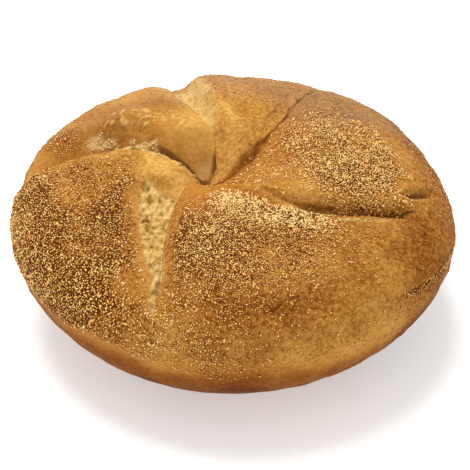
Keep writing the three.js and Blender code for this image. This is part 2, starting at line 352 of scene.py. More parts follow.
# Fine grit: how thick it lies on each petal, where there is more or less of it, and its limits
DUST_COVER = (0.3, 0.22, 0.12, 0.2, 0.55)
DUST_MORE = dict(share=0.2, petal=FRONT, turn_fall=(290, 325))
DUST_LACK = dict(share=0.65, petal=FRONT, ring_rise=(0.82, 0.94))
DUST_LIMITS = dict(ring_rise=(0.25, 0.45), ring_fall=(1.0, 1.2))

# How pale the grains are on each petal, and how much darker the crust is painted between the coarse ones, as
# painted shade
PALE_GRAINS = (0.99, 0.55, 0.55, 0.94, 0.74)
PALE_CREST = 0.62
PALE_AREAS = [
    dict(share=0.05, petal=LEFT, ring_rise=(0.62, 0.84)),
    dict(share=-0.25, petal=FRONT, ring_rise=(0.78, 0.95), turn_rise=(255, 280)),
]
PALE_PATCHES = [dict(share=0.28, petal=FRONT, middle=(-6, -26), size=(7, 11))]
GRIT_SHADE = (1.05, 0.8, 0.8, 2.4, 1.3)
GRIT_SHADE_FOOT = dict(share=0.1, petal=FRONT, ring_rise=(0.82, 0.92), turn_fall=(250, 285))
GRIT_SHADE_POWER = 1.5
CREST_SHADE_LACK = 0.4

# Grains to the square mm where the cover is 1, the least distance between two, and the seeds of their places
GRIT_DENSITY = 14
GRIT_DENSITY_POWER = 1.4
GRIT_SPACING = (0.37, 0.37, 0.37, 0.5, 0.37)
GRIT_SEED = 51
DUST_DENSITY = 5
DUST_SPACING = 0.4
DUST_SEED = 53
DUST_TONE = -0.4
DUST_TONE_IN_GRIT = 0.3
CRUMB_DENSITY = 2.5
CRUMB_SPACING = 0.4
CRUMB_SEED = 55

# Grains as beads: width in mm, greatest length in widths, and how far the middle stands out in half widths
GRIT_GRAINS = dict(name="roll_grit", size=0.42, length=2.2, rise=0.3, sides=5, seed=52)
DUST_GRAINS = dict(name="roll_dust", size=0.32, length=2.0, rise=0.2, sides=4, seed=54)
CRUMB_GRAINS = dict(name="roll_crumbs", size=0.5, length=1.6, rise=0.3, sides=6, seed=56)
GRAIN_SIZE_SPREAD = 0.22
GRAIN_UNEVENNESS = 0.14
GRAIN_LEAST_LENGTH = 0.9
GRAIN_FLATNESS = (0.6, 1.0)
# Grains paler than this are larger, by this share at most.
LARGE_ABOVE_TONE = 0.9
LARGE_MOST = 0.25
# How much grains differ in tone, and how much each is painted darker at its edge, as painted shade, and
# lighter on its crest, as painted light
GRAIN_TONE_SPREAD = 0.7
GRAIN_EDGE_PAINTED_SHADE = -0.58
GRAIN_CREST_PAINTED_LIGHT = 0.54

# Colours from 0 to 255 as on a screen. The crust's ramp runs from pale to brown, and the others lighten.
CRUST_TONES = [
    (0.0, (222, 174, 94)), (0.25, (198, 145, 69)), (0.5, (174, 119, 50)),
    (0.75, (140, 82, 24)), (1.0, (92, 44, 4))]
RAW_TONES = [(0.34, (124, 90, 36)), (0.46, (190, 152, 82)), (0.62, (220, 188, 122))]
GRAIN_TONES = [(0.0, (128, 68, 16)), (0.35, (214, 146, 66)), (0.65, (250, 200, 116)), (1.0, (255, 224, 154))]
CRUMB_TONES = [(0.0, (226, 184, 110)), (1.0, (255, 232, 176))]
FLOOR_TONES = [(0.0, (240, 240, 239)), (1.0, (246, 246, 245))]
# The colour of the painted shade in cracks, folds, the crevice and the dough's pores
CRACK_SHADE_COLOUR = (84, 46, 22)
# The colour of the painted sheen at the back
PAINTED_SHEEN_COLOUR = (190, 158, 136)
BLUSH_COLOUR = (176, 102, 36)
# How strongly that painted shade is laid on
CRACK_SHADE_PAINT = 0.85

# Noise in the materials: the size of its lumps in mm, the spread of its values, and what that becomes
CRUST_CLOUDS = dict(size=4.0, spread=(0.25, 0.75), to=(-0.05, 0.05))
CRUST_SPECKS = dict(size=0.5, detail=4.0, roughness=0.7, spread=(0.25, 0.75), to=(-0.36, 0.36))
GRIT_GAPS = dict(size=0.3, detail=2.0, spread=(0.35, 0.65), to=(0.05, 1.3))
CRUST_GLOSS = dict(size=1.5, spread=(0.3, 0.7), to=(0.5, 0.72))
GRAIN_MOTTLE = dict(size=0.24, detail=2.0, spread=(0.3, 0.7), to=(-0.25, 0.25))
GRAIN_GLOSS = dict(size=0.2, detail=2.0, spread=(0.3, 0.7), to=(0.4, 0.65))
DOUGH_NOISE = dict(size=0.9, detail=5.0, roughness=0.6)
BUMP_NOISE = dict(size=0.6, detail=3.0)
FLOOR_NOISE = dict(size=120.0, detail=2.0)
CALM_SPECKS = 0.3
CALM_DOUGH = 0.2
BUMP_HEIGHT = 0.3
BUMP_STRENGTH = 0.6
CRUST_SHEEN = 0.03
GRAIN_SHEEN = 0.1

# The camera, at the photo's angle: the aim is the point of the roll that is seen at the aim's pixel
CAMERA_ELEVATION = 36.0
CAMERA_DISTANCE = 432.0
IMAGE_SIZE = 470
PIXELS_PER_MM = 4.084
SENSOR = 36.0
AIM = Vector((0.0, 0.0, 22.0))
AIM_PIXEL = (231.6, 227.4)

# The light and the floor
LAMP_PLACE = Vector((-140, 220, 860))
LAMP_TARGET = Vector((0, 0, 30))
LAMP_SIZE = 500
LAMP_POWER = 6.8
WORLD_STRENGTH = 0.6
WHITE = (1, 1, 1, 1)
FLOOR_HALF = 1500
FLOOR_ROUGHNESS = 0.9
FLOOR_GLOW = 0.42


# Steps and random fields

def smooth(x, low, high):
    """A soft step from 0 at low to 1 at high."""
    t = np.clip((x - low) / (high - low), 0, 1)
    return t * t * (3 - 2 * t)


def fall(x, low, high):
    """A soft step from 1 at low to 0 at high."""
    return 1 - smooth(x, low, high)


def window(x, low, high, soft):
    """1 between low and high, with soft edges."""
    return smooth(x, low - soft, low + soft) * fall(x, high - soft, high + soft)


def line(x, middle, width):
    """1 at the middle, fading within about the width."""
    return np.exp(-(((x - middle) / width) ** 2))


def mix(a, b, share):
    return a + (b - a) * share


def column(table, key, index):
    """The values that a table's rows have under a key, for an array of row numbers."""
    return np.array([row[key] for row in table], float)[index]


def uneven(points, layers):
    """A smooth random field over the points: the sum of the layers' lumps."""
    total = np.zeros(points.shape[:-1])
    for amount, size, seed in layers:
        draw = np.random.default_rng(seed)
        waves = draw.normal(size=(WAVES_IN_LAYER, points.shape[-1]))
        waves /= np.linalg.norm(waves, axis=1, keepdims=True)
        waves *= (np.pi / size * draw.uniform(*WAVE_RATES, WAVES_IN_LAYER))[:, None]
        phases = draw.uniform(0, 2 * np.pi, WAVES_IN_LAYER)
        lumps = sum(np.sin(points @ wave + phase) for wave, phase in zip(waves, phases))
        total += amount * math.sqrt(2 / WAVES_IN_LAYER) * lumps
    return total


# The form of the skin

def seam_angle(index, ring):
    """The turn of a seam at a ring. Past the last seam, the first comes again a whole turn on."""
    seam = index % COUNT
    swing = (1 - np.minimum(ring, 1)) ** column(SEAMS, "power", seam)
    hook = column(SEAMS, "hook", seam) * np.exp(-((ring / HOOK_REACH) ** 2))
    return column(SEAMS, "rim", seam) + 360 * (index // COUNT) - column(SEAMS, "sweep", seam) * swing + hook


def petal_value(place, key):
    """A petal property, blended from the middle of one petal to the middle of the next."""
    shifted = place - 0.5 + COUNT
    before = np.floor(shifted).astype(int) % COUNT
    share = smooth(shifted - np.floor(shifted), 0, 1)
    return mix(column(PETALS, key, before), column(PETALS, key, (before + 1) % COUNT), share)


def outline(angle):
    """The ring, radius and height of the round's outline, from angle 0 at the top to pi at the foot."""
    across = np.abs(np.sin(angle))
    up = np.abs(np.cos(angle))
    crown_ring = across ** (2 / CROWN_SQUARENESS[0])
    rise = np.clip(1 - crown_ring ** CROWN_SQUARENESS[0], 0, 1) ** (1 / CROWN_SQUARENESS[1])
    spread = across ** (2 / FLANK_SQUARENESS)
    drop = up ** (2 / FLANK_SQUARENESS)
    crown = angle <= np.pi / 2
    ring = np.where(crown, crown_ring, 1 + drop)
    radius = np.where(crown, RADIUS * crown_ring, mix(BASE_RADIUS, RADIUS, spread))
    height = np.where(crown, mix(EQUATOR_HEIGHT, HEIGHT, rise), EQUATOR_HEIGHT * (1 - drop))
    return ring, radius, height


def outline_normal(angle):
    """The outward and upward share of the outline's unit normal."""
    _, r0, h0 = outline(np.clip(angle - NORMAL_STEP, 0, np.pi))
    _, r1, h1 = outline(np.clip(angle + NORMAL_STEP, 0, np.pi))
    length = np.hypot(r1 - r0, h1 - h0)
    return (h0 - h1) / length, (r1 - r0) / length


def rounded_edge(distance, width):
    """How far a rounded edge has dropped, from 0 at its width to 1 at the seam."""
    x = np.clip(1 - distance / width, 0, 1)
    return 1 - np.sqrt(1 - x * x)


def tucked_slope(distance, floor, width):
    """How far a tucked petal has dropped, down its slope and over the floor of the seam."""
    side = fall(distance, floor, floor + width)
    whole = fall(distance, 0, floor + width)
    return mix(side, whole, FLOOR_FALL)


def seam_pair(key, seam):
    """The two values of a seam property that has two."""
    return [np.array([row[key][k] for row in SEAMS], float)[seam] for k in (0, 1)]


def floor_width(seam, ring):
    width = mix(*seam_pair("floor", seam), np.minimum(ring, 1))
    return np.maximum(width, 0) * smooth(ring, *FLOOR_START)


def seam_depth(petal, ring, over_gap, under_gap, lift):
    """How deep the seams on both sides of a petal sink it, in mm."""
    def cut(seam):
        along = smooth(ring, *seam_pair("starts", seam)) * fall(ring, *seam_pair("ends", seam))
        return lift + column(SEAMS, "depth", seam) * along

    tucked = (petal + 1) % COUNT
    edge = cut(petal) * rounded_edge(over_gap, column(SEAMS, "over", petal))
    slope = cut(tucked) * tucked_slope(under_gap, floor_width(tucked, ring), column(SEAMS, "under", tucked))
    return np.cbrt(edge ** 3 + slope ** 3)


def crease_depth(creases, ring, turn):
    """How deep the creases are at each ring and turn, in mm. They fade out towards their ends."""
    total = np.zeros(np.broadcast(ring, turn).shape)
    scale = math.radians(1) * RADIUS * ring
    for crease in creases:
        (turn0, ring0), (turn1, ring1) = crease["start"], crease["end"]
        near = turn - 360 * np.round((turn - turn0) / 360)
        along = np.stack(np.broadcast_arrays((turn1 - turn0) * scale, RADIUS * (ring1 - ring0)), -1)
        offset = np.stack(np.broadcast_arrays((near - turn0) * scale, RADIUS * (ring - ring0)), -1)
        share = np.clip((offset * along).sum(-1) / (along ** 2).sum(-1), 0, 1)
        gap = np.linalg.norm(offset - share[..., None] * along, axis=-1)
        total += crease["depth"] * line(gap, 0, crease["width"]) * np.sin(np.pi * share)
    return total


def wave_height(plan):
    return sum(h * np.sin(2 * np.pi * (x * plan[..., 0] + y * plan[..., 1]) + p) for x, y, p, h in WAVES)


def grid_normals(points):
    """Unit normals of a grid of points whose columns close into a ring, pointing out."""
    down = np.gradient(points, axis=0)
    along = np.roll(points, -1, axis=1) - np.roll(points, 1, axis=1)
    normal = np.cross(down, along)
    return normal / np.linalg.norm(normal, axis=-1, keepdims=True)


def make_skin():
    """The skin as a grid of rows from the pit to the foot and columns round the roll."""
    columns = COUNT * COLUMNS_PER_PETAL
    place = (np.arange(columns) / COLUMNS_PER_PETAL)[None, :]
    crown = (np.arange(1, CROWN_ROWS + 1) / CROWN_ROWS) ** ROW_CROWDING
    flank = 1 + np.arange(1, FLANK_ROWS + 1) / FLANK_ROWS
    angle = (np.concatenate([crown, flank]) * np.pi / 2)[:, None]
    ring, radius, height = outline(angle)
    outward, upward = outline_normal(angle)

    petal = np.floor(place).astype(int) % COUNT
    share = place - np.floor(place)
    crowded = share - SEAM_CROWDING * np.sin(2 * np.pi * share) / (2 * np.pi)
    turn = mix(seam_angle(petal, ring), seam_angle(petal + 1, ring), crowded)
    arc = math.radians(1) * RADIUS * np.minimum(ring, 1)
    over_gap = (turn - seam_angle(petal, ring)) * arc
    under_gap = (seam_angle(petal + 1, ring) - turn) * arc

    heading = np.stack([np.cos(np.radians(turn)), np.sin(np.radians(turn))], -1)
    shift = 1 - np.minimum(ring, 1) ** CENTRE_SHIFT_POWER
    plan = SWIRL_CENTRE * shift[..., None] + heading * radius[..., None]

    rim = smooth(ring, *RIM_BAND)
    lift = column(PETALS, "lift", petal) * (1 - rim) * smooth(ring, *LIFT_START)
    folded = lift - seam_depth(petal, ring, over_gap, under_gap, lift)
    pit = PIT_DEPTH * np.exp(-((ring / petal_value(place, "tip")) ** petal_value(place, "fall")))
    sunk = np.maximum(folded, 0) - np.cbrt(np.maximum(-folded, 0) ** 3 + pit ** 3)
    loose = petal_value(place, "reach") * rim + wave_height(plan) * (1 - rim)
    relief = (sunk + loose - crease_depth(CREASES, ring, turn)) * fall(ring, *FOOT_BAND)
    level = plan + heading * (outward * relief)[..., None]
    points = np.concatenate([level, (height + upward * relief)[..., None]], -1)
    grid = turn.shape
    return SimpleNamespace(
        points=points, normals=grid_normals(points), ring=np.broadcast_to(ring, grid), turn=turn % 360,
        petal=np.broadcast_to(petal, grid), over_gap=over_gap, under_gap=under_gap)


def add_measures(skin):
    """Adds more measures for the areas' limits: a turn from -X, and distances in mm."""
    ring = skin.ring
    skin.turn_from_left = (skin.turn + 180) % 360
    skin.strip = mix(*STRIP_WIDTH, ring) - skin.under_gap
    wedge = np.clip(WEDGE_WIDTH + WEDGE_WIDENING * (ring - WEDGE_RING), *WEDGE_LIMITS)
    skin.wedge = wedge - skin.under_gap
    skin.in_from_lip = np.minimum(skin.over_gap - FOLD_GAP, RADIUS * (ring - FOLD_RING))
    skin.up_from_lip = skin.under_gap - np.interp(ring, LIP_RINGS, LIP_GAPS)


# Areas of the crust

LIMIT_KINDS = dict(rise=smooth, fall=fall, band=window, line=line)


def on(skin, petal):
    return (skin.petal == petal).astype(float)


def per_petal(skin, values):
    return np.array(values)[skin.petal]


def on_crown(skin):
    return fall(skin.ring, *PAINTED_CROWN)


def area(skin, ragged=0.0, share=1.0, petal=None, wobble=None, **limits):
    """An area's share of its effect at each point of the skin, between its limits and on its petal."""
    mask = np.full(skin.ring.shape, share)
    if petal is not None:
        mask = mask * on(skin, petal)
    for name, limit in limits.items():
        measure, kind = name.rsplit("_", 1)
        value = getattr(skin, measure) + (wobble or {}).get(name, 0) * ragged
        mask = mask * LIMIT_KINDS[kind](value, *limit)
    return mask


def areas(skin, rows, ragged=0.0):
    return sum(area(skin, ragged, **row) for row in rows)


def patches(skin, rows):
    """Soft round patches in plan, each on its petal's crown only."""
    total = np.zeros(skin.ring.shape)
    for row in rows:
        offset = (skin.points[..., :2] - np.array(row["middle"])) / np.array(row["size"])
        total += row["share"] * np.exp(-(offset ** 2).sum(-1)) * on(skin, row["petal"])
    return total * on_crown(skin)


# Cracks, raw dough and browning

def seam_side(skin, seam):
    """Distance from a seam, above 0 on the petal that laps over it, and far off on other petals."""
    beside = np.where(skin.petal == (seam - 1) % COUNT, -skin.under_gap, FAR_AWAY)
    return np.where(skin.petal == seam, skin.over_gap, beside)


def crevice(skin):
    """The gap between the left petal's lip and the back left petal, down into the pit, where painted shade
    goes.
    """
    return np.maximum.reduce([area(skin, **row) for row in CREVICES])


def cracks(skin):
    """How deep the cracks beside the seams are, in mm, and the painted shade in them, the folds and the
    crevice, from 0 to 1.
    """
    wander = uneven(skin.points, CRACK_WANDER)
    closed = smooth(uneven(skin.points, CRACK_CLOSING), *CRACK_CLOSED)
    depth = np.zeros(skin.ring.shape)
    painted_shade = np.zeros(skin.ring.shape)
    for crack_and_shade in CRACKS:
        aside = seam_side(skin, crack_and_shade["seam"]) + wander
        strength = line(aside, crack_and_shade["shift"], crack_and_shade["width"]) * (1 - crack_and_shade["broken"] * closed)
        strength = strength * window(skin.ring, *crack_and_shade["rings"], CRACK_ENDS)
        depth += crack_and_shade["depth"] * strength
        painted_shade = np.maximum(painted_shade, crack_and_shade["painted_shade"] * strength)
    folds = FOLD_PAINTED_SHADE * smooth(crease_depth(SIDE_FOLDS, skin.ring, skin.turn), *FOLD_DEPTHS)
    return depth, np.maximum.reduce([painted_shade, folds, CREVICE_PAINTED_SHADE * crevice(skin)])


def lip_crumb(skin):
    """Torn crumb on the back left petal, just above the left petal's lip."""
    ragged = uneven(skin.points, CRUMB_RAGGED)
    return np.maximum.reduce([area(skin, ragged, **row) for row in LIP_CRUMBS])


def lip_edge(skin):
    """The pale edge of the left petal where it folds down towards the back left one and the pit."""
    return area(skin, uneven(skin.points, EDGE_RAGGED), **LIP_EDGE)


def pit_flake(skin):
    """A pale flake on the back left petal's end, down in the pit."""
    return area(skin, uneven(skin.points, FLAKE_RAGGED), **PIT_FLAKE)


def blob_band(skin):
    """Where the small swellings are."""
    return area(skin, **BLOB_BAND)


def blobs(skin):
    """The small swellings, drawn out downwards like drips."""
    drips = np.stack([skin.under_gap / BLOB_STRETCH, RADIUS * skin.ring], -1)
    lumps = uneven(drips, BLOB_DRIPS) + uneven(skin.points, BLOB_LUMPS)
    return smooth(lumps, *BLOB_RISE) * blob_band(skin)


def raw_dough(skin):
    """Where pale dough shows, mostly in the open seams: 1 where the crust never covered it. At the back some
    is painted sheen.
    """
    dough = areas(skin, DOUGH_AREAS, uneven(skin.points, DOUGH_RAGGED)) + BLOB_DOUGH * blobs(skin)
    return np.clip(dough + pit_flake(skin) + lip_edge(skin) + lip_crumb(skin), 0, 1)


def browning(skin):
    """How brown the crust is, from 0, pale gold, to 1, dark brown, with painted shade and painted light in
    some areas and the crease.
    """
    brown_and_shading = MEAN_BROWN + uneven(skin.points, BROWN_CLOUDS) + areas(skin, BROWN_AND_SHADING_AREAS)
    brown_and_shading += blob_band(skin) * (BLOB_BAND_BROWN + BLOB_BROWN * blobs(skin))
    # Painted shade along the front crease, darker where it is deeper
    brown_and_shading += CREASE_PAINTED_SHADE * crease_depth([FRONT_CREASE], skin.ring, skin.turn)
    return np.clip(brown_and_shading, 0, 1)


def calmness(skin, raw_and_sheen):
    """Where the crust's specks are faint: on the back left petal, the back's pale dough and painted sheen,
    and the flank.
    """
    calm = np.maximum(on(skin, BACK) * raw_and_sheen + on(skin, BACK_LEFT), smooth(skin.ring, *CALM_FLANK))
    return CALM_SHARE * calm


def pores(skin):
    """Small holes of the raw dough, from 0 to 1."""
    return smooth(uneven(skin.points, DOUGH_PORES), *PORE_RISE)


# Where the grit lies

def front_crest(skin):
    """Where the grit lies thickest on the front petal: along the edge of the right petal."""
    beyond = np.maximum(skin.under_gap - CREST_REACH, 0)
    return line(beyond, 0, CREST_FADE) * fall(skin.points[..., 0], *CREST_END) * on(skin, FRONT)


def left_grit(skin, ragged):
    """Coarse grit on the left petal, thin beside the open seam and between it and the foot."""
    cover = LEFT_GRIT_COVER + areas(skin, LEFT_GRIT_AREAS, ragged)
    cover = cover * area(skin, ragged, **LEFT_GRIT_LIMITS) * (1 - area(skin, ragged, **LEFT_GRIT_LACK))
    return cover * mix(area(skin, ragged, **LEFT_OF_STRIP), 1, smooth(skin.ring, *BELOW_STRIP))


def front_grit(skin, ragged):
    """Coarse grit on the front petal, thickest on its crest and thin towards the right."""
    body = areas(skin, FRONT_GRIT_AREAS) + patches(skin, FRONT_GRIT_PATCHES)
    cover = np.maximum(front_crest(skin), body) * area(skin, **FRONT_GRIT_LIMITS)
    cover = cover * mix(area(skin, **RIGHT_OF_STRIP), 1, smooth(skin.ring, *BELOW_STRIP))
    lean = area(skin, **FRONT_GRIT_LEAN) + FRONT_GRIT_WOBBLE * ragged
    return cover * smooth(skin.ring + lean, *FRONT_GRIT_START) + area(skin, ragged, **APRON)


def plateau_grit(skin):
    """Coarse grit on the level middle of the right petal, with soft and ragged edges."""
    offset = (skin.points[..., :2] - np.array(PLATEAU_MIDDLE)) @ np.linalg.inv(np.array(PLATEAU_AXES))
    reach = (np.abs(offset) ** PLATEAU_SQUARENESS).sum(-1) ** (1 / PLATEAU_SQUARENESS)
    cover = fall(reach + uneven(skin.points, PLATEAU_RAGGED), *PLATEAU_EDGE)
    thinner = PLATEAU_BACK_LACK * smooth(skin.points[..., 1], *PLATEAU_BACK)
    return on(skin, RIGHT) * on_crown(skin) * cover * (1 - thinner)


def grit_chain(skin):
    """A line of grains along the right rim, which climbs towards the front."""
    low, high = CHAIN_TURNS
    share = np.clip((high - skin.turn) / (high - low), 0, 1)
    height = CHAIN_HEIGHT + CHAIN_RISE * share ** CHAIN_RISE_POWER
    return window(skin.points[..., 2] - height, *CHAIN_BAND) * window(skin.turn, low, high, CHAIN_ENDS)


def grit_cover(skin):
    """How thick the coarse semolina lies, from 0 to 1."""
    ragged = uneven(skin.points, GRIT_RAGGED)
    edge = np.interp(skin.turn, GRIT_EDGE_TURNS, GRIT_EDGE_RINGS) - GRIT_EDGE_WOBBLE * ragged
    cover = (left_grit(skin, ragged) + front_grit(skin, ragged)) * fall(skin.ring - edge, *GRIT_EDGE_FADE)
    cover = cover + plateau_grit(skin) + patches(skin, GRIT_PATCHES)
    return np.clip(cover * (1 + uneven(skin.points, GRIT_CLOUDS)) + grit_chain(skin), 0, 1)


def dust_cover(skin, grit):
    """How thick the fine semolina lies, which also reaches where the coarse grains are few."""
    thin = per_petal(skin, DUST_COVER) + area(skin, **DUST_MORE)
    thin = thin * (1 - area(skin, **DUST_LACK)) * area(skin, **DUST_LIMITS)
    return np.clip(thin * (1 - grit), 0, 1)


def grain_paleness(skin):
    """How pale the grains are, from 0, brown, to 1 and more."""
    pale = per_petal(skin, PALE_GRAINS) + PALE_CREST * front_crest(skin)
    return pale + areas(skin, PALE_AREAS) + patches(skin, PALE_PATCHES)


def grit_shade(skin, grit):
    """How much darker the crust is painted between coarse grains, as painted shade in the gaps."""
    shade = per_petal(skin, GRIT_SHADE) + area(skin, **GRIT_SHADE_FOOT)
    return grit ** GRIT_SHADE_POWER * shade * (1 - CREST_SHADE_LACK * front_crest(skin))


def add_fine_relief(skin, raw_and_sheen, crack_depth):
    """Moves the skin's points a little, for the unevenness that a baked crust has."""
    p = skin.points
    crust = uneven(p, CRUST_BUMPS)
    fibres = np.stack([skin.under_gap / FIBRE_SIZE[0], RADIUS * skin.ring / FIBRE_SIZE[1]], -1)
    torn = uneven(fibres, DOUGH_FIBRES) + uneven(p, DOUGH_BUMPS) - PORE_DEPTH * pores(skin)
    wrinkles = np.sin(2 * np.pi * (skin.under_gap + uneven(p, WRINKLE_WANDER)) / WRINKLE_PITCH)
    relief = mix(crust, torn, raw_and_sheen * on(skin, LEFT)) + BLOB_HEIGHT * blobs(skin)
    relief = relief + WRINKLE_HEIGHT * wrinkles * area(skin, **WRINKLED) - crack_depth
    skin.points = p + skin.normals * (relief * fall(skin.ring, *SMOOTH_FOOT))[..., None]
    skin.points[..., 2] = np.maximum(skin.points[..., 2], 0)
    skin.normals = grid_normals(skin.points)


# Building meshes

def new_object(name, vertices, faces, material):
    mesh = bpy.data.meshes.new(name)
    mesh.from_pydata(vertices, [], faces)
    mesh.materials.append(material)
    mesh.polygons.foreach_set("use_smooth", np.ones(len(mesh.polygons), bool))
    piece = bpy.data.objects.new(name, mesh)
    bpy.context.scene.collection.objects.link(piece)
    return piece


def set_attribute(piece, name, values):
    attribute = piece.data.attributes.new(name, "FLOAT", "POINT")
    attribute.data.foreach_set("value", np.asarray(values, np.float32).ravel())


def crust_piece(skin, masks, material):
    """The skin as a mesh, closed by a point in the pit and one under the foot, with masks as attributes."""
    rows, columns = skin.ring.shape
    pole = np.array([[*SWIRL_CENTRE, skin.points[0, :, 2].mean() - POLE_DROP]])
    vertices = np.concatenate([pole, skin.points.reshape(-1, 3), np.zeros((1, 3))]) * MM
    index = 1 + np.arange(rows * columns).reshape(rows, columns)
    after = np.roll(index, -1, axis=1)
    quads = np.stack([index[:-1], index[1:], after[1:], after[:-1]], -1).reshape(-1, 4)
    top = np.stack([np.zeros(columns, int), index[0], after[0]], -1)
    bottom = np.stack([np.full(columns, len(vertices) - 1), after[-1], index[-1]], -1)
    faces = top.tolist() + quads.tolist() + bottom.tolist()
    piece = new_object("roll_crust", vertices.tolist(), faces, material)
    for name, values in masks.items():
        set_attribute(piece, name, np.concatenate([[values[0].mean()], values.ravel(), [values[-1].mean()]]))
    return piece


def bead(sides):
    """A rough bead: a ring of corners between a top and a bottom one."""
    angle = 2 * np.pi * np.arange(sides) / sides
    belt = np.stack([np.cos(angle), np.sin(angle), np.zeros(sides)], -1)
    corners = np.concatenate([belt, [(0, 0, 1), (0, 0, -1)]])
    here = np.arange(sides)
    after = (here + 1) % sides
    upper = np.stack([here, after, np.full(sides, sides)], -1)
    lower = np.stack([after, here, np.full(sides, sides + 1)], -1)
    return corners, np.concatenate([upper, lower])


def scatter(skin, density, pale, spacing, seed):
    """Random places on the skin, about density of them to the square mm and no two closer than spacing.

    Gives each place's normal and paleness too.
    """
    draw = np.random.default_rng(seed)
    after = np.roll(skin.points, -1, axis=1)
    corners = (skin.points[:-1], skin.points[1:], after[1:], after[:-1])
    normal = np.cross(corners[1] - corners[3], corners[2] - corners[0])
    size = np.linalg.norm(normal, axis=-1) / 2
    counts = draw.poisson(size * (density[:-1] + density[1:]) / 2)
    cells = np.repeat(np.arange(counts.size), counts.ravel())
    draw.shuffle(cells)
    u, v = draw.random((2, len(cells), 1))
    a, b, c, d = (corner.reshape(-1, 3)[cells] for corner in corners)
    places = mix(mix(a, d, u), mix(b, c, u), v)
    normals = normal.reshape(-1, 3)[cells]
    normals /= np.linalg.norm(normals, axis=1, keepdims=True)
    keep = spread_out(places, spacing[:-1].ravel()[cells])
    return places[keep], normals[keep], pale[:-1].ravel()[cells[keep]]


def spread_out(places, spacing):
    """The numbers of the places left when each that lies too close to an earlier one is dropped."""
    boxes = {}
    keep = []
    steps = [(i, j, k) for i in (-1, 0, 1) for j in (-1, 0, 1) for k in (-1, 0, 1)]
    cells = np.floor(places / spacing.max()).astype(int).tolist()
    rows = zip(places.tolist(), cells, spacing.tolist())
    for number, ((x, y, z), (i, j, k), reach) in enumerate(rows):
        near = [q for di, dj, dk in steps for q in boxes.get((i + di, j + dj, k + dk), ())]
        if all((x - q[0]) ** 2 + (y - q[1]) ** 2 + (z - q[2]) ** 2 > reach ** 2 for q in near):
            boxes.setdefault((i, j, k), []).append((x, y, z))
            keep.append(number)
    return np.array(keep)


def grains_piece(spots, material, name, size, length, rise, sides, seed):
    """Grains as uneven lumps, each sunk a little into the crust, with a tone of its own."""
    draw = np.random.default_rng(seed)
    places, normals, pale = spots
    count = len(places)
    corners, faces = bead(sides)
    radius = size / 2 * draw.lognormal(0, GRAIN_SIZE_SPREAD, count)
    radius = radius * (1 + np.clip(pale - LARGE_ABOVE_TONE, 0, LARGE_MOST))
    ranges = [(GRAIN_LEAST_LENGTH, length), GRAIN_FLATNESS, GRAIN_FLATNESS]
    stretch = np.stack([draw.uniform(low, high, count) for low, high in ranges], -1)
    stretch = stretch[:, None] * radius[:, None, None]
    rough = 1 + GRAIN_UNEVENNESS * draw.normal(size=(count, len(corners), 1))
    along = np.cross(normals, draw.normal(size=(count, 3)))
    along /= np.linalg.norm(along, axis=1, keepdims=True)
    axes = np.stack([along, np.cross(normals, along), normals], 1)
    lumps = (corners * rough * stretch) @ axes + (places + normals * (rise * radius)[:, None])[:, None]
    all_faces = (faces[None] + (len(corners) * np.arange(count))[:, None, None]).reshape(-1, 3)
    piece = new_object(name, (lumps.reshape(-1, 3) * MM).tolist(), all_faces.tolist(), material)
    tone = pale + GRAIN_TONE_SPREAD * (draw.random(count) - 0.5)
    # Painted shade round each grain's edge and painted light on its crest
    tone = tone[:, None] + mix(GRAIN_EDGE_PAINTED_SHADE, GRAIN_CREST_PAINTED_LIGHT, corners[:, 2].clip(0, 1))
    set_attribute(piece, "tone", np.clip(tone, 0, 1).ravel())
    return piece


# Materials

def srgb(red, green, blue):
    """A colour given from 0 to 255 as on a screen, as the linear colour that shaders use."""
    def linear(value):
        value = value / 255
        return value / 12.92 if value <= 0.04045 else ((value + 0.055) / 1.055) ** 2.4
    return (linear(red), linear(green), linear(blue), 1)


class Nodes:
    """A material's node tree, with short ways to add and join nodes."""

    def __init__(self, name):
        self.material = bpy.data.materials.new(name)
        self.material.use_nodes = True
        self.tree = self.material.node_tree
        self.shader = self.tree.nodes["Principled BSDF"]

    def add(self, kind, inputs, **settings):
        node = self.tree.nodes.new(kind)
        for key, value in settings.items():
            setattr(node, key, value)
        for key, value in inputs.items():
            self.put(node.inputs[key], value)
        return node

    def put(self, socket, value):
        if isinstance(value, bpy.types.NodeSocket):
            self.tree.links.new(value, socket)
        else:
            socket.default_value = value

    def set(self, name, value):
        self.put(self.shader.inputs[name], value)

    def attribute(self, name):
        return self.add("ShaderNodeAttribute", {}, attribute_name=name).outputs["Fac"]

    def noise(self, size, detail=3.0, roughness=0.55):
        """Noise with lumps of about that size in mm, from 0 to 1."""
        place = self.add("ShaderNodeTexCoord", {}).outputs["Object"]
        inputs = {"Vector": place, "Scale": 0.5 / (size * MM), "Detail": detail, "Roughness": roughness}
        return self.add("ShaderNodeTexNoise", inputs).outputs["Fac"]

    def stretch(self, value, spread, to):
        """A value whose spread becomes another one."""
        names = ("From Min", "From Max", "To Min", "To Max")
        inputs = {"Value": value, **dict(zip(names, (*spread, *to)))}
        return self.add("ShaderNodeMapRange", inputs).outputs[0]

    def mottle(self, spread, to, **noise):
        return self.stretch(self.noise(**noise), spread, to)

    def math(self, operation, a, b):
        return self.add("ShaderNodeMath", {0: a, 1: b}, operation=operation).outputs[0]

    def ramp(self, value, stops):
        node = self.add("ShaderNodeValToRGB", {"Fac": value})
        elements = node.color_ramp.elements
        while len(elements) < len(stops):
            elements.new(0.5)
        for element, (position, colour) in zip(elements, stops):
            element.position = position
            element.color = srgb(*colour)
        return node.outputs["Color"]

    def blend(self, share, a, b):
        return self.add("ShaderNodeMix", {0: share, 6: a, 7: b}, data_type="RGBA").outputs[2]

    def bump(self, height, distance, strength):
        inputs = {"Height": height, "Distance": distance * MM, "Strength": strength}
        return self.add("ShaderNodeBump", inputs).outputs[0]


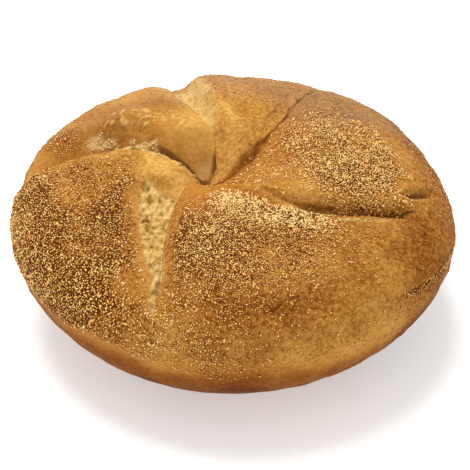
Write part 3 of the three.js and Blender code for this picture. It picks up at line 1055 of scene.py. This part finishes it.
def crust_material():
    nodes = Nodes("crust")
    calm = nodes.attribute("calm")
    lively = nodes.stretch(calm, (0.0, 1.0), (1.0, CALM_SPECKS))
    specks = nodes.math("MULTIPLY", nodes.mottle(**CRUST_SPECKS), lively)
    mottle = nodes.math("ADD", nodes.mottle(**CRUST_CLOUDS), specks)
    # The browning, with its painted shade and painted light
    brown_and_shading = nodes.math("ADD", nodes.attribute("brown_and_shading"), mottle)
    # Painted shade between the coarse grains
    shade = nodes.math("MULTIPLY", nodes.attribute("shade"), nodes.mottle(**GRIT_GAPS))
    crust = nodes.ramp(nodes.math("ADD", brown_and_shading, shade), CRUST_TONES)
    # Painted sheen at the back
    crust = nodes.blend(nodes.attribute("painted_sheen"), crust, srgb(*PAINTED_SHEEN_COLOUR))
    crust = nodes.blend(nodes.attribute("blush"), crust, srgb(*BLUSH_COLOUR))
    paler = nodes.math("MULTIPLY", calm, CALM_DOUGH)
    # The pale dough's colour, also used for the painted sheen at the back
    raw_and_sheen = nodes.ramp(nodes.math("ADD", nodes.noise(**DOUGH_NOISE), paler), RAW_TONES)
    dough = nodes.blend(nodes.attribute("raw_and_sheen"), crust, raw_and_sheen)
    # Painted shade in the cracks, folds, crevice and pores
    painted_shade = nodes.math("MULTIPLY", nodes.attribute("crack_and_shade"), CRACK_SHADE_PAINT)
    nodes.set("Base Color", nodes.blend(painted_shade, dough, srgb(*CRACK_SHADE_COLOUR)))
    nodes.set("Roughness", nodes.mottle(**CRUST_GLOSS))
    nodes.set("Normal", nodes.bump(nodes.noise(**BUMP_NOISE), BUMP_HEIGHT, BUMP_STRENGTH))
    nodes.set("Specular IOR Level", CRUST_SHEEN)
    return nodes.material


def grain_material(name, tones):
    nodes = Nodes(name)
    tone = nodes.math("ADD", nodes.attribute("tone"), nodes.mottle(**GRAIN_MOTTLE))
    nodes.set("Base Color", nodes.ramp(tone, tones))
    nodes.set("Roughness", nodes.mottle(**GRAIN_GLOSS))
    nodes.set("Specular IOR Level", GRAIN_SHEEN)
    return nodes.material


def floor_material():
    nodes = Nodes("floor")
    nodes.set("Base Color", nodes.ramp(nodes.noise(**FLOOR_NOISE), FLOOR_TONES))
    nodes.set("Roughness", FLOOR_ROUGHNESS)
    nodes.set("Emission Color", WHITE)
    nodes.set("Emission Strength", FLOOR_GLOW)
    return nodes.material


# The setting

def add_camera():
    tilt = math.radians(CAMERA_ELEVATION)
    ahead = Vector((0, math.cos(tilt), -math.sin(tilt)))
    up = Vector((0, math.sin(tilt), math.cos(tilt)))
    right = Vector((1, 0, 0))
    shift_x, shift_y = ((IMAGE_SIZE / 2 - pixel) / PIXELS_PER_MM for pixel in AIM_PIXEL)
    aim = AIM + right * shift_x - up * shift_y
    data = bpy.data.cameras.new("camera")
    data.sensor_width = SENSOR
    data.lens = PIXELS_PER_MM * CAMERA_DISTANCE / IMAGE_SIZE * SENSOR
    camera = bpy.data.objects.new("camera", data)
    camera.location = (aim - ahead * CAMERA_DISTANCE) * MM
    camera.rotation_euler = ahead.to_track_quat("-Z", "Y").to_euler()
    bpy.context.scene.collection.objects.link(camera)
    bpy.context.scene.camera = camera


def add_floor():
    half = FLOOR_HALF * MM
    corners = [(-half, -half, 0), (half, -half, 0), (half, half, 0), (-half, half, 0)]
    floor = new_object("floor", corners, [(0, 1, 2, 3)], floor_material())


def add_world():
    world = bpy.data.worlds.new("studio")
    world.use_nodes = True
    background = world.node_tree.nodes["Background"]
    background.inputs["Color"].default_value = WHITE
    background.inputs["Strength"].default_value = WORLD_STRENGTH
    bpy.context.scene.world = world
    bpy.context.scene.view_settings.view_transform = "Standard"


def add_lamp():
    data = bpy.data.lights.new("key", "AREA")
    data.shape = "DISK"
    data.size = LAMP_SIZE * MM
    data.energy = LAMP_POWER
    lamp = bpy.data.objects.new("key", data)
    lamp.location = LAMP_PLACE * MM
    lamp.rotation_euler = (LAMP_TARGET - LAMP_PLACE).to_track_quat("-Z", "Y").to_euler()
    bpy.context.scene.collection.objects.link(lamp)


skin = make_skin()
add_measures(skin)
crack_depth, crack_and_shade = cracks(skin)
raw_and_sheen = raw_dough(skin)
brown_and_shading = browning(skin)
grit = grit_cover(skin) * (1 - raw_and_sheen)
dust = dust_cover(skin, grit) * (1 - raw_and_sheen)
pale = grain_paleness(skin)
shade = grit_shade(skin, grit)
add_fine_relief(skin, raw_and_sheen, crack_depth)
paints = {
    "raw_and_sheen": raw_and_sheen,
    "brown_and_shading": brown_and_shading,
    "shade": shade,
    # Painted shade in the cracks, folds, crevice and the raw dough's pores
    "crack_and_shade": np.maximum(crack_and_shade, PORE_PAINTED_SHADE * raw_and_sheen * pores(skin) * on(skin, LEFT)),
    "calm": calmness(skin, raw_and_sheen),
    # painted sheen at the back
    "painted_sheen": areas(skin, PAINTED_SHEEN_AREAS),
    "blush": areas(skin, BLUSH_AREAS),
}
crust = crust_piece(skin, paints, crust_material())
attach(crust, "root")
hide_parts("roll")

semolina = grain_material("semolina", GRAIN_TONES)
crumb = grain_material("crumb", CRUMB_TONES)
grit_density = GRIT_DENSITY * grit ** GRIT_DENSITY_POWER
dust_tone = pale + DUST_TONE + DUST_TONE_IN_GRIT * grit
dust_spacing = np.full_like(dust, DUST_SPACING)
crumb_spacing = np.full_like(dust, CRUMB_SPACING)
coarse_spots = scatter(skin, grit_density, pale, per_petal(skin, GRIT_SPACING), GRIT_SEED)
fine_spots = scatter(skin, DUST_DENSITY * dust, dust_tone, dust_spacing, DUST_SEED)
crumb_spots = scatter(skin, CRUMB_DENSITY * lip_crumb(skin), pale, crumb_spacing, CRUMB_SEED)
coarse = grains_piece(coarse_spots, semolina, **GRIT_GRAINS)
fine = grains_piece(fine_spots, semolina, **DUST_GRAINS)
crumbs = grains_piece(crumb_spots, crumb, **CRUMB_GRAINS)
for grains in (coarse, fine, crumbs):
    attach(grains, "root")

add_camera()
add_floor()
add_world()
add_lamp()
